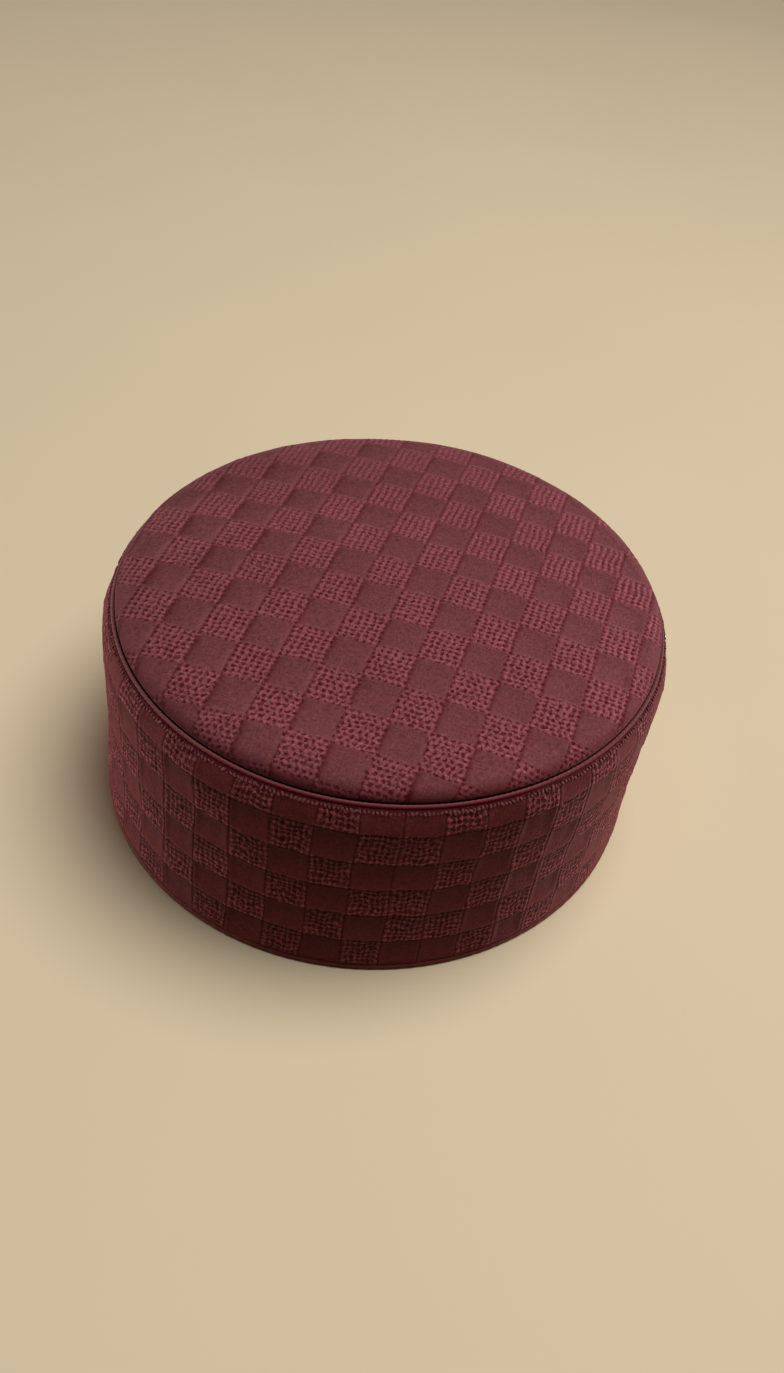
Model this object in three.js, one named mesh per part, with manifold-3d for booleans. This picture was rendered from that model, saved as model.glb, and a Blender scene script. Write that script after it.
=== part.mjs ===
// A prayer cap: a low, slightly oval cap of checked cloth with a padded flat crown.
// Millimetres, +Z up. The rim stands on z = 0, and the plan's long way lies along X.
// Every radius is the mean radius of the oval plan.
import * as THREE from "three";
import { mergeVertices } from "three/addons/utils/BufferGeometryUtils.js";
import Module from "manifold-3d";

// The plan: longer than its mean radius along X and shorter along Y by this share
const OVAL = 0.0294;
const GAP = 0.3;

// The wall: a slight waist between the rim and the foot of the rounded shoulder
const RIM_RADIUS = 92.2;
const WAIST_RADIUS = 90.4;
const WALL_TOP_RADIUS = 89.9;
const WALL_TOP = 63.4;
const CLOTH = 2.5;

// The seam ring, where the crown's edge, the piping and the shoulder come together
const SEAM_RADIUS = 84.9;
const SEAM_HEIGHT = 80.4;

// The shoulder bends in to a ledge of turned-in cloth that carries the piping and the crown
const LEDGE_HEIGHT = 78.8;
const LEDGE_CLOTH = 1.9;
const LEDGE_INNER_RADIUS = 83.0;

// The crown: a padded panel, its edge rounded over and its middle gently domed
const CROWN_EDGE_WIDTH = 4.8;
const CROWN_EDGE_RISE = 3.9;
const CROWN_DOME = 4.6;
const CROWN_CLOTH = 3.0;
const CROWN_ROLL_UNDER = 1.0;
const CROWN_TRIM_SLOPE = 0.2;

const PIPING_RADIUS = 0.8;
const HEM_HEIGHT = 2.7;
const HEM_CLOTH = 3.0;
const HEM_ROLL = 0.9;

// The check: squares of open knit stand proud of the smooth ones.
// On the crown it is turned, its rows climb a little, and its middle is off the cap's middle
const PUFF = 0.6;
const PAD_INSET = 1.3;
const CROWN_CHECK = new THREE.Vector2(12.65, 12.95);
const CROWN_CHECK_TURN = THREE.MathUtils.degToRad(-34.66);
const CROWN_CHECK_SKEW = 0.044;
const CROWN_CHECK_OFFSET = new THREE.Vector2(-2.71, 0.27);
const BAND_COLUMNS = 45;
const BAND_ROW = 13.5;
const RIB = 0.5;

// The band's cloth is joined where an odd number of columns puts like checks side by side
const JOIN_ANGLE = THREE.MathUtils.degToRad(255.4);
const JOIN_STEP_ROWS = 2;

const ROUND_SEGMENTS = 90;
const SAME_POINT = 1e-3;
const CLOTH_COLOURS = { crown: 0x76404a, piping: 0x84484f, side_band: 0x6a363d, hem: 0x5c2c33 };

const wasm = await Module();
wasm.setup();

const oval = (angle) => 1 + OVAL * Math.cos(2 * angle);
const polar = (radius, angle, z) =>
  new THREE.Vector3(radius * oval(angle) * Math.cos(angle), radius * oval(angle) * Math.sin(angle), z);

// A ring or disc turned from a profile of (radius, height) points, on the oval plan.
// place(plain, segment, point) may move a vertex from its plain radius, angle and height.
function turned(profile, segments, place) {
  const geometry = new THREE.LatheGeometry(profile, segments);
  const positions = geometry.getAttribute("position");
  for (let segment = 0; segment <= segments; segment++) {
    profile.forEach(({ x, y }, point) => {
      const plain = { radius: x, angle: (2 * Math.PI * (segment % segments)) / segments, height: y };
      const { radius, angle, height } = place ? place(plain, segment % segments, point) : plain;
      const spot = polar(radius, angle, height);
      positions.setXYZ(segment * profile.length + point, spot.x, spot.y, spot.z);
    });
  }
  return geometry;
}

// A geometry as a solid that can be cut: shared vertices merged, and slivers on the axis dropped.
function solidOf(geometry) {
  geometry.deleteAttribute("normal");
  geometry.deleteAttribute("uv");
  const merged = mergeVertices(geometry, SAME_POINT);
  const corners = [];
  for (let i = 0; i < merged.index.count; i += 3) {
    const [a, b, c] = merged.index.array.slice(i, i + 3);
    if (a !== b && b !== c && c !== a) corners.push(a, b, c);
  }
  return new wasm.Manifold(
    new wasm.Mesh({
      numProp: 3,
      vertProperties: merged.getAttribute("position").array,
      triVerts: new Uint32Array(corners),
    }),
  );
}

function geometryOf(solid) {
  const { vertProperties, triVerts } = solid.getMesh();
  return new THREE.BufferGeometry()
    .setAttribute("position", new THREE.BufferAttribute(vertProperties, 3))
    .setIndex(new THREE.BufferAttribute(triVerts, 1));
}

const at = (radius, height) => new THREE.Vector2(radius, height);

// The wall's outer line from the top of the hem up over the shoulder to the ledge
function wallLine() {
  const foot = HEM_HEIGHT + GAP;
  const waistPull = 2 * WAIST_RADIUS - (RIM_RADIUS + WALL_TOP_RADIUS) / 2;
  const shoulder = at(WALL_TOP_RADIUS - SEAM_RADIUS, SEAM_HEIGHT - WALL_TOP);
  const ledgeTurn = Math.asin((LEDGE_HEIGHT - WALL_TOP) / shoulder.y);
  const line = new THREE.Path().moveTo(RIM_RADIUS, foot);
  line.quadraticCurveTo(waistPull, (foot + WALL_TOP) / 2, WALL_TOP_RADIUS, WALL_TOP);
  line.absellipse(SEAM_RADIUS, WALL_TOP, shoulder.x, shoulder.y, 0, ledgeTurn, false);
  return line;
}

// How far along the wall's line each ring of vertices lies, and the row of checks that it belongs to
function wallStations(length) {
  const rows = Math.ceil(length / BAND_ROW);
  const stations = [];
  for (let row = 0; row < rows; row++) {
    const start = row === 0 ? 0 : row * BAND_ROW + PAD_INSET;
    const end = row === rows - 1 ? length : (row + 1) * BAND_ROW - PAD_INSET;
    stations.push({ run: start, row }, { run: end, row });
  }
  return stations;
}

// Smooth and knit checks take turns round and up the band, but not across the join,
// which steps one column over for the lowest rows
function bandCheckIsSmooth(column, row) {
  const beforeJoin = row < JOIN_STEP_ROWS && column === 0;
  return (column + (beforeJoin ? BAND_COLUMNS : 0) + row) % 2 === 1;
}

function sideBand() {
  const line = wallLine();
  const length = line.getLength();
  const stations = wallStations(length);
  const outside = stations.map(({ run }) => line.getPointAt(run / length));
  const ledgeUnder = LEDGE_HEIGHT - LEDGE_CLOTH;
  const inside = outside
    .filter((_, i) => i % 2 === 0)
    .map(({ x, y }) => at(x - CLOTH, y))
    .filter(({ y }) => y < ledgeUnder);
  const ledge = [
    at(LEDGE_INNER_RADIUS, LEDGE_HEIGHT),
    at(LEDGE_INNER_RADIUS, ledgeUnder),
    at(outside.at(-1).x - CLOTH, ledgeUnder),
  ];
  const profile = [...outside, ...ledge, ...inside.reverse(), outside[0].clone()];
  const columnAngle = (2 * Math.PI) / BAND_COLUMNS;
  const inset = PAD_INSET / WALL_TOP_RADIUS;
  const lines = [0, inset, columnAngle - inset];
  const place = ({ radius, height }, segment, point) => {
    const column = Math.floor(segment / lines.length);
    const side = segment % lines.length;
    const angle = JOIN_ANGLE + column * columnAngle + lines[side];
    const station = stations[point];
    const raised = station && station.run > 0 && station.run < length;
    if (!raised) return { radius, angle, height };
    const check = bandCheckIsSmooth(column, station.row) ? 0 : PUFF;
    return { radius: radius + (side === 0 ? RIB : check), angle, height };
  };
  return turned(profile, BAND_COLUMNS * lines.length, place);
}

// The crown's height inside its rounded edge
const crownHeight = (radius) =>
  SEAM_HEIGHT + CROWN_EDGE_RISE + CROWN_DOME * (1 - (radius / SEAM_RADIUS) ** 2);

// A slab whose top is the domed check: grid lines lie just inside both sides of every check
function crownChecks() {
  const across = 2 * Math.ceil(SEAM_RADIUS / CROWN_CHECK.x) + 3;
  const last = 2 * across - 1;
  const slab = new THREE.BoxGeometry(last, last, 2, last, last, 1);
  const positions = slab.getAttribute("position");
  const gridLine = (index, side) => {
    const check = Math.floor(index / 2) - (across - 1) / 2;
    return { check, place: check * side + (index % 2 ? 0.5 : -0.5) * (side - 2 * PAD_INSET) };
  };
  const spot = new THREE.Vector2();
  const centre = new THREE.Vector2();
  for (let i = 0; i < positions.count; i++) {
    const along = gridLine(Math.round(positions.getX(i) + last / 2), CROWN_CHECK.x);
    const over = gridLine(Math.round(positions.getY(i) + last / 2), CROWN_CHECK.y);
    spot.set(along.place, over.place + CROWN_CHECK_SKEW * along.place);
    spot.add(CROWN_CHECK_OFFSET).rotateAround(centre, CROWN_CHECK_TURN);
    const radius = spot.length() / oval(spot.angle());
    const smooth = Math.abs(along.check + over.check) % 2 === 1;
    const top = crownHeight(radius) + (smooth ? 0 : PUFF);
    positions.setXYZ(i, spot.x, spot.y, positions.getZ(i) > 0 ? top : 0);
  }
  return slab;
}

// The crown's round form: a rounded edge, open above to the checked slab that it trims
function crownForm() {
  const foot = LEDGE_HEIGHT + GAP;
  const edgeStart = SEAM_RADIUS - CROWN_EDGE_WIDTH;
  const edgeTop = crownHeight(edgeStart);
  const steps = 6;
  const edge = Array.from({ length: steps + 1 }, (_, i) => {
    const turn = (Math.PI / 2) * (i / steps);
    const rise = (edgeTop - SEAM_HEIGHT) * Math.sin(turn);
    return at(edgeStart + CROWN_EDGE_WIDTH * Math.cos(turn), SEAM_HEIGHT + rise);
  });
  const clearOfChecks = edgeTop + CROWN_TRIM_SLOPE * edgeStart;
  return [at(0, foot), at(SEAM_RADIUS - CROWN_ROLL_UNDER, foot), ...edge, at(0, clearOfChecks)];
}

// The hollow under the crown, one thickness of padding below its top
function crownHollow() {
  const rim = LEDGE_INNER_RADIUS - GAP;
  const steps = 4;
  const under = Array.from({ length: steps + 1 }, (_, i) => {
    const radius = (rim - CROWN_CLOTH) * (1 - i / steps);
    return at(radius, crownHeight(radius) - CROWN_CLOTH);
  });
  return [at(0, 0), at(rim, 0), at(rim, LEDGE_HEIGHT + GAP), ...under];
}

function crown() {
  const form = solidOf(turned(crownForm(), ROUND_SEGMENTS));
  const hollow = solidOf(turned(crownHollow(), ROUND_SEGMENTS));
  return geometryOf(form.intersect(solidOf(crownChecks())).subtract(hollow));
}

function piping() {
  const sides = 6;
  const centre = at(SEAM_RADIUS + PIPING_RADIUS + GAP, LEDGE_HEIGHT + GAP + PIPING_RADIUS);
  const section = Array.from({ length: sides + 1 }, (_, i) => {
    const turn = (2 * Math.PI * (i % sides)) / sides;
    return at(centre.x + PIPING_RADIUS * Math.cos(turn), centre.y + PIPING_RADIUS * Math.sin(turn));
  });
  return turned(section, ROUND_SEGMENTS);
}

// The hem's roll stands a little proud of the wall, and is flat where it rests
function hem() {
  const outer = RIM_RADIUS + HEM_ROLL / 2;
  const inner = outer - HEM_CLOTH;
  const section = [
    at(outer - HEM_ROLL, 0),
    at(outer, HEM_ROLL),
    at(outer, HEM_HEIGHT - HEM_ROLL),
    at(outer - HEM_ROLL, HEM_HEIGHT),
    at(inner, HEM_HEIGHT),
    at(inner, 0),
    at(outer - HEM_ROLL, 0),
  ];
  return turned(section, ROUND_SEGMENTS);
}

function piece(name, geometry) {
  const cloth = new THREE.MeshStandardMaterial({ color: CLOTH_COLOURS[name], roughness: 0.9, metalness: 0 });
  const mesh = new THREE.Mesh(geometry, cloth);
  mesh.name = name;
  return mesh;
}

const prayerCap = new THREE.Group();
prayerCap.add(
  piece("crown", crown()),
  piece("piping", piping()),
  piece("side_band", sideBand()),
  piece("hem", hem()),
);

export default prayerCap;
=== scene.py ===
"""Dresses the solids of a prayer cap in checked cloth, with its piping, stitches and hem, on a stage."""

import math
from typing import NamedTuple

import bpy
import numpy as np
from bpy.props import FloatProperty, FloatVectorProperty, IntProperty, PointerProperty
from mathutils import Matrix, Vector


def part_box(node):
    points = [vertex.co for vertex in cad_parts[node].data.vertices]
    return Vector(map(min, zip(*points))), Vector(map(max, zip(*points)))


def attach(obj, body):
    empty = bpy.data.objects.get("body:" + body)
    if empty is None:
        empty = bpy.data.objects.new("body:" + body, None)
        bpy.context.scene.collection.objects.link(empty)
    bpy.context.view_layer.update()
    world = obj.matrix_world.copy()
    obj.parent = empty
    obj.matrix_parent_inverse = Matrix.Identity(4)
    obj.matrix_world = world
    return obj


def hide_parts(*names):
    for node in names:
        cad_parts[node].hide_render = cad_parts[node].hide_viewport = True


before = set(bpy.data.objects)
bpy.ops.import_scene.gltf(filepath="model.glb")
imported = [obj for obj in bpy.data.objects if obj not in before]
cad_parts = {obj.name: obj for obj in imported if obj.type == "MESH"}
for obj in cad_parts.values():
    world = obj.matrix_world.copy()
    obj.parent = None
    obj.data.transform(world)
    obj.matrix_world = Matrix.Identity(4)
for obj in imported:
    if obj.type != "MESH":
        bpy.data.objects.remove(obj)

bl_info = {
    "name": "Prayer Cap",
    "version": (1, 0, 0),
    "blender": (4, 5, 0),
    "location": "3D View > Sidebar > Prayer Cap",
    "description": "Makes the cloth, piping, stitches, hem and stage of a checked prayer cap",
    "category": "Add Mesh",
}

MM = 0.001
TURN = 2 * math.pi
BAKE_MAP = "OFBake"
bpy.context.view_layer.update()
HEM_TOP = Vector(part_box("hem")[1])

# The gap that pieces keep to each other
GAP = 0.3 * MM


def length_property(name, description, millimetres):
    return FloatProperty(
        name=name, description=description, default=millimetres * MM, unit="LENGTH", precision=5
    )


def angle_property(name, description, degrees):
    return FloatProperty(name=name, description=description, default=math.radians(degrees), subtype="ANGLE")


def share_property(name, description, share):
    return FloatProperty(name=name, description=description, default=share, subtype="FACTOR", precision=4)


def colour_property(name, description, colour):
    return FloatVectorProperty(
        name=name, description=description, default=colour, subtype="COLOR", size=3, min=0, max=1
    )


class CapSizes(bpy.types.PropertyGroup):
    """The cap's form. Every radius is the mean radius of the oval plan."""

    oval: share_property(
        "Oval", "Share by which the plan is longer along X and shorter along Y than its mean radius",
        (HEM_TOP.x - HEM_TOP.y) / (HEM_TOP.x + HEM_TOP.y),
    )
    rim_radius: length_property("Rim radius", "Wall's radius just above the hem", 92.2)
    waist_radius: length_property("Waist radius", "Wall's radius at its narrowest", 90.4)
    wall_top_radius: length_property("Wall top radius", "Wall's radius at the foot of the shoulder", 89.9)
    wall_top: length_property("Wall top", "Height of the foot of the shoulder", 63.4)
    wall_foot: length_property("Wall foot", "Height of the band's lower edge, just above the hem", 3.0)
    cloth: length_property("Cloth", "Thickness of the side band", 2.5)
    seam_radius: length_property("Seam radius", "Radius where the crown meets the side band", 84.9)
    seam_height: length_property("Seam height", "Height where the crown meets the side band", 80.4)
    lip_height: length_property("Lip height", "Height of the band's upper edge, beside the piping", 78.9)
    ledge_height: length_property("Ledge height", "Top of the cloth turned in under the crown", 78.8)
    ledge_inner_radius: length_property("Ledge inner radius", "Inner edge of the turned-in cloth", 83.0)
    ledge_cloth: length_property("Ledge cloth", "Thickness of the turned-in cloth", 1.9)
    crown_radius: length_property("Crown radius", "Widest radius, where the crown bulges", 85.7)
    crown_widest: length_property("Crown widest height", "Height at which the crown is widest", 81.4)
    crown_edge_width: length_property("Crown edge width", "Width of the crown's rounded edge", 5.6)
    crown_edge_rise: length_property("Crown edge rise", "Height of the crown's edge above the seam", 3.9)
    crown_dome: length_property("Crown dome", "Rise of the crown's middle above its edge", 4.6)
    crown_foot: length_property("Crown foot", "Height of the crown's underside at its rim", 79.1)
    crown_roll: length_property("Crown roll", "How far the crown's edge rolls back under itself", 1.8)
    crown_padding: length_property("Crown padding", "Thickness of the padded crown", 3.0)
    piping_radius: length_property("Piping radius", "Radius of the cord in the seam", 0.62)
    piping_ring_radius: length_property("Piping ring radius", "Radius of the ring of the cord", 86.3)
    piping_height: length_property("Piping height", "Height of the cord's middle", 79.6)
    hem_cloth: length_property("Hem cloth", "Thickness of the rolled hem", 3.0)


class CheckSizes(bpy.types.PropertyGroup):
    """The woven check and how far it stands out of the cloth."""

    crown_width: length_property("Crown square width", "Width of a square on the crown", 12.65)
    crown_depth: length_property("Crown square depth", "Depth of a square on the crown", 12.95)
    crown_turn: angle_property("Crown check turn", "Turn of the crown's check about the cap's axis", -34.66)
    crown_skew: share_property("Crown check skew", "Climb of the check's rows for each step along", 0.044)
    crown_along: length_property("Crown check along", "Middle of the middle square, along the check", -2.71)
    crown_over: length_property("Crown check over", "Middle of the middle square, across the check", 0.27)
    band_columns: IntProperty(name="Band columns", description="Squares round the side band", default=45)
    band_row: length_property("Band row", "Height of a square on the side band", 13.5)
    join_angle: angle_property("Join", "Where the band's two ends are joined", 255.4)
    join_step_rows: IntProperty(
        name="Join step", description="Lowest rows in which the join lies one column further on", default=2
    )
    loops: IntProperty(name="Loops", description="Knitted loops along a side of a square", default=6)
    band_loops: IntProperty(name="Band loops", description="Knitted loops across a band square", default=7)
    crown_courses: IntProperty(name="Courses", description="Rows of loops in a crown square", default=7)
    puff: length_property("Puff", "Height of the knit squares above the smooth ones", 0.6)
    hole: length_property("Hole", "Depth of the holes in the knit", 0.45)
    rib: length_property("Rib", "Height of the fine ribs between the band's columns", 0.05)
    unevenness: length_property("Unevenness", "Soft unevenness of the padded cloth", 0.25)


class ClothColours(bpy.types.PropertyGroup):
    """The finishes' colours."""

    crown_smooth: colour_property("Crown, smooth", "Fine weave of the crown", (0.130, 0.0355, 0.0390))
    crown_knit: colour_property("Crown, knit", "Knitted strands of the crown", (0.168, 0.0442, 0.0517))
    # The pits' colour is painted shade in the knit's holes
    crown_pit: colour_property("Crown, pits", "Pits in the crown's knit", (0.075, 0.0045, 0.009))
    band_smooth: colour_property("Band, smooth", "Fine weave of the side band", (0.085, 0.0150, 0.0160))
    band_knit: colour_property("Band, knit", "Knitted strands of the side band", (0.147, 0.0342, 0.0372))
    # The band's pit colour is painted shade in the knit's holes and in the seams between squares
    band_pit: colour_property("Band, pits", "Pits in the side band's knit", (0.034, 0.0012, 0.0020))
    # Painted shade: the colour that creases, grooves, the rim and the inside of the cap are darkened
    # towards
    hollow_shade: colour_property("Painted hollow shade", "Creases and the dark between strands", (0.055, 0.003, 0.006))
    cord: colour_property("Cord", "Piping", (0.165, 0.054, 0.058))
    # Painted shade on the lower side of the piping
    cord_shade: colour_property("Cord, shade", "Lower side of the piping", (0.110, 0.006, 0.010))
    stitch: colour_property("Stitches", "Stitches under the piping", (0.170, 0.050, 0.055))
    hem: colour_property("Hem", "Rolled hem", (0.120, 0.029, 0.021))
    floor: colour_property("Floor", "Plain floor", (0.69, 0.56, 0.375))


class StageSettings(bpy.types.PropertyGroup):
    """The camera's place and the lights."""

    camera: FloatVectorProperty(
        name="Camera", description="The camera's place",
        default=(-0.1038, -0.2489, 0.3247), subtype="TRANSLATION",
    )
    heading: angle_property("Heading", "Turn of the view from +Y towards +X", 23.492)
    tilt: angle_property("Tilt", "How far the view points down", 46.772)
    roll: angle_property("Roll", "Turn of the camera about its view", 9.494)
    lens: FloatProperty(name="Lens", description="Focal length", default=29.40, subtype="DISTANCE_CAMERA")
    key_power: FloatProperty(name="Key power", description="Soft light above", default=27.0, unit="POWER")
    side_power: FloatProperty(name="Side power", description="Low side lights", default=9.5, unit="POWER")
    sky_strength: FloatProperty(name="Sky strength", description="Even light from all round", default=0.08)


def settings():
    scene = bpy.context.scene
    return scene.cap_sizes, scene.cap_checks, scene.cap_colours


class Wire:
    """A value that varies over a surface: a shader socket that takes part in Python expressions."""

    def __init__(self, finish, socket):
        self.finish = finish
        self.socket = socket

    def __add__(self, other):
        return self.finish.math("ADD", self, other)

    __radd__ = __add__

    def __sub__(self, other):
        return self.finish.math("SUBTRACT", self, other)

    def __rsub__(self, other):
        return self.finish.math("SUBTRACT", other, self)

    def __mul__(self, other):
        return self.finish.math("MULTIPLY", self, other)

    __rmul__ = __mul__

    def __pow__(self, power):
        return self.finish.math("POWER", self, power)

    def __abs__(self):
        return self.finish.math("ABSOLUTE", self)

    def fraction(self):
        return self.finish.math("FRACT", self)

    def swing(self):
        """From 1 to -1 and back once for each whole step of the value, 1 at whole numbers."""
        return self.finish.math("COSINE", self * TURN)

    def wave(self):
        """From 1 to 0 and back once for each whole step of the value, 1 at whole numbers."""
        return self.swing() * 0.5 + 0.5

    def clamped(self):
        return self.finish.node("ShaderNodeClamp", {}, {"Value": self})

    def above(self, limit, slope):
        """0 up to a limit, and from there rising to 1."""
        return ((self - limit) * slope).clamped()

    def below(self, limit, slope):
        """0 down to a limit, and from there rising to 1."""
        return ((limit - self) * slope).clamped()


class Finish:
    """A material of one Principled shader, whose sockets are fed with wires or plain values."""

    def __init__(self, name, constants):
        self.material = bpy.data.materials.new(name)
        self.material.use_nodes = True
        self.tree = self.material.node_tree
        self.shader = self.tree.nodes["Principled BSDF"]
        self.feed(self.shader, constants)

    def feed(self, node, sockets):
        for name, value in sockets.items():
            if isinstance(value, Wire):
                self.tree.links.new(value.socket, node.inputs[name])
            else:
                node.inputs[name].default_value = value

    def node(self, kind, choices, sockets, output=0):
        made = self.tree.nodes.new(kind)
        for name, choice in choices.items():
            setattr(made, name, choice)
        self.feed(made, sockets)
        return Wire(self, made.outputs[output])

    def math(self, operation, *values):
        return self.node("ShaderNodeMath", {"operation": operation}, dict(enumerate(values)))

    def attribute(self, name, output="Fac"):
        return self.node("ShaderNodeAttribute", {"attribute_name": name}, {}, output)

    def parts_of(self, vector):
        return [self.node("ShaderNodeSeparateXYZ", {}, {"Vector": vector}, axis) for axis in "XYZ"]

    def vector(self, x, y, z=0.0):
        return self.node("ShaderNodeCombineXYZ", {}, {"X": x, "Y": y, "Z": z})

    def noise(self, vector, scale, detail=2.0):
        return self.node("ShaderNodeTexNoise", {}, {"Vector": vector, "Scale": scale, "Detail": detail})

    def place(self):
        return self.node("ShaderNodeTexCoord", {}, {}, "Object")

    def mix(self, first, second, factor, blend="MIX"):
        choices = {"data_type": "RGBA", "blend_type": blend}
        return self.node("ShaderNodeMix", choices, {0: factor, 6: first, 7: second}, 2)

    def toned(self, colour, tone):
        return self.mix(colour, self.vector(tone, tone, tone), 1.0, "MULTIPLY")

    def bump(self, height, distance, strength):
        sockets = {"Height": height, "Distance": distance, "Strength": strength}
        return self.node("ShaderNodeBump", {}, sockets)

    def surface(self, sockets):
        self.feed(self.shader, sockets)
        return self.material


def opaque(colour):
    return (*colour, 1.0)


CLOTH = {
    "Specular IOR Level": 0.05,
    "Sheen Weight": 0.08,
    "Sheen Roughness": 0.45,
    "Sheen Tint": (1.0, 0.45, 0.4, 1.0),
}

# Grains of noise along a metre
FUZZ = 1500.0
FRAY = 800.0
SPECKS = 1400.0
YARN_FUZZ = 2600.0
PATCHES = 38.0
FLOOR_GRAIN = 6.0

# Grains of noise in a square, along a thread of the fine weave and across it
ALONG_THREAD = 6.0
ACROSS_THREAD = 24.0

# How much specks and larger patches change the cloth's tone
SPECK_TONE = 2.3
PATCH_TONE = 0.28

# Sharpness of the border between smooth and knit squares
BORDER_SHARPNESS = 2.6

# Mean share of a loop's top that shows
MEAN_TOP = 0.33

# How far loops in turn lie to the left and the right, as a share of a column
STAGGER = 0.25

# Depth of the grooves between ribs, as a share of the pits between loops
RIB_GROOVE = 0.65

# How far the cloth inside the cap takes the painted shade colour of the hollows
INSIDE_SHADE = 0.2


class Knit(NamedTuple):
    """How a piece's open knit looks.

    Pits are narrower across or along a column of loops for a higher power. Strands cover a pit's shallow
    share, below which painted shade darkens it as sharply as given. The bead highlight is painted light on
    the tops of the loops. Loose yarn strays further and varies more in tone. Seams part the squares with
    painted shade.
    """

    across_power: float
    along_power: float
    strand: float
    sharpness: float
    bead_highlight: float
    loose: float
    seams: bool


CROWN_KNIT = Knit(
    across_power=1.3, along_power=1.2, strand=0.15, sharpness=2.6, bead_highlight=0.4, loose=1.1, seams=False
)
BAND_KNIT = Knit(
    across_power=0.6, along_power=0.9, strand=0.02, sharpness=2.8, bead_highlight=0.8, loose=1.25, seams=True
)


def knit_loops(finish, knit, stagger, fray, fuzz):
    """How far a place lies in a hole of the knit, and how far on the top of a loop."""
    column, course, open_share = finish.parts_of(finish.attribute("loops", "Vector"))
    groove_depth = finish.attribute("ribs") * RIB_GROOVE
    column = column + fray * knit.loose * (1 - groove_depth)
    course = course + (fuzz - 0.5) * knit.loose
    column = column + (course * 0.5).swing() * stagger * STAGGER
    rows = course.wave() ** knit.along_power
    pit = column.wave() ** knit.across_power * (rows + (1 - rows) * groove_depth)
    hole = pit.above(knit.strand, knit.sharpness) * open_share
    top = (1 - column.wave()) * (1 - course.wave())
    return hole, top


def weave_hairs(finish, across, along):
    """The fine weave's threads both ways, with a mean of 0.5."""
    weft = finish.noise(finish.vector(across * ALONG_THREAD, along * ACROSS_THREAD), 1.0)
    warp = finish.noise(finish.vector(across * ACROSS_THREAD, along * ALONG_THREAD), 1.0)
    return weft + warp - 0.5


def square_seams(across, along, fray):
    """The painted shade between squares, the painted light and shade from each square's foot to its top,
    and the seams' depth.
    """
    from_column = abs((across + 0.5 + fray * 0.04).fraction() - 0.5)
    up_row = (along + fray * 0.08).fraction()
    # Painted shade in the grooves between columns and under the row above
    groove = from_column.below(limit=0.028, slope=50.0)
    shadow = up_row.above(limit=0.92, slope=14.0)
    # Painted highlight at each square's foot
    lip = up_row.below(limit=0.14, slope=7.0)
    dark = (groove * 0.8 + shadow * 0.6).clamped()
    # Painted light and shade: lighter at each square's foot, darker towards its top
    tone = 0.25 - up_row * 0.5 + lip * 0.2 - shadow * 0.25
    depth = from_column.below(limit=0.055, slope=18.0) * 0.55
    return dark, tone, depth


def checked_cloth(name, colours, knit):
    """Smooth squares of fine weave and squares of open knit, told apart by the mesh's own values, which
    also place painted light and shade.
    """
    finish = Finish(name, CLOTH)
    smooth_colour, knit_colour, pit_colour, painted_shade_colour = (opaque(colour) for colour in colours)
    across, along, stagger = finish.parts_of(finish.attribute("weave", "Vector"))
    place = finish.place()
    fuzz = finish.noise(place, FUZZ)
    fray = finish.noise(place, FRAY) - 0.5
    hairs = weave_hairs(finish, across, along)
    hole, top = knit_loops(finish, knit, stagger, fray, fuzz)
    plain = ((finish.attribute("smooth") - 0.5) * BORDER_SHARPNESS + 0.5 + fray - hole).clamped()
    speckled = (finish.noise(place, SPECKS, 3.0) - 0.5) * SPECK_TONE * knit.loose
    # Painted highlight on the tops of the loops
    painted_highlight = (top - MEAN_TOP) * knit.bead_highlight
    # Painted shade in the knit's holes
    strands = finish.mix(finish.toned(knit_colour, 1.05 + speckled + painted_highlight), pit_colour, hole)
    weave = finish.toned(smooth_colour, 0.5 + hairs)
    cloth = finish.mix(strands, weave, plain)
    # Painted shade in creases, along the rim and on the smooth squares' shaded edges
    cloth = finish.mix(cloth, painted_shade_colour, finish.attribute("painted_shade"))
    patchy = (finish.noise(place, PATCHES, 3.0) - 0.5) * PATCH_TONE
    # Random patchy tone, plus painted light and shade that lighten and darken the cloth where light falls
    # and where it does not
    tone = 1 + patchy + finish.attribute("painted_lighting")
    relief = (1 - plain) * (fuzz * 0.6 - hole) + plain * (hairs * 0.35 + fuzz * 0.2)
    if knit.seams:
        painted_seam_shade, painted_seam_light, seam_depth = square_seams(across, along, fray)
        cloth = finish.mix(cloth, pit_colour, painted_seam_shade)
        tone = tone + painted_seam_light
        relief = relief - seam_depth
    return finish.surface({
        "Base Color": finish.toned(cloth, tone),
        "Roughness": 0.95 - hairs * 0.12,
        "Normal": finish.bump(relief, 0.3 * MM, 0.8),
    })


def twisted_yarn(name, colour, shade):
    """The cord's and the stitches' yarn, with painted shade between its strands, on its lower side and at
    its ends.
    """
    finish = Finish(name, CLOTH)
    fuzz = finish.noise(finish.place(), YARN_FUZZ, 3.0)
    groove = finish.attribute("painted_shade")
    # The mesh's painted light and shade dims the cord away from the join
    yarn = finish.toned(opaque(colour), 0.7 + fuzz * 0.6 + finish.attribute("painted_lighting"))
    return finish.surface({
        "Base Color": finish.mix(yarn, opaque(shade), groove),
        "Roughness": 0.95 - fuzz * 0.15,
        "Normal": finish.bump(fuzz, 0.12 * MM, 0.6),
    })


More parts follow.
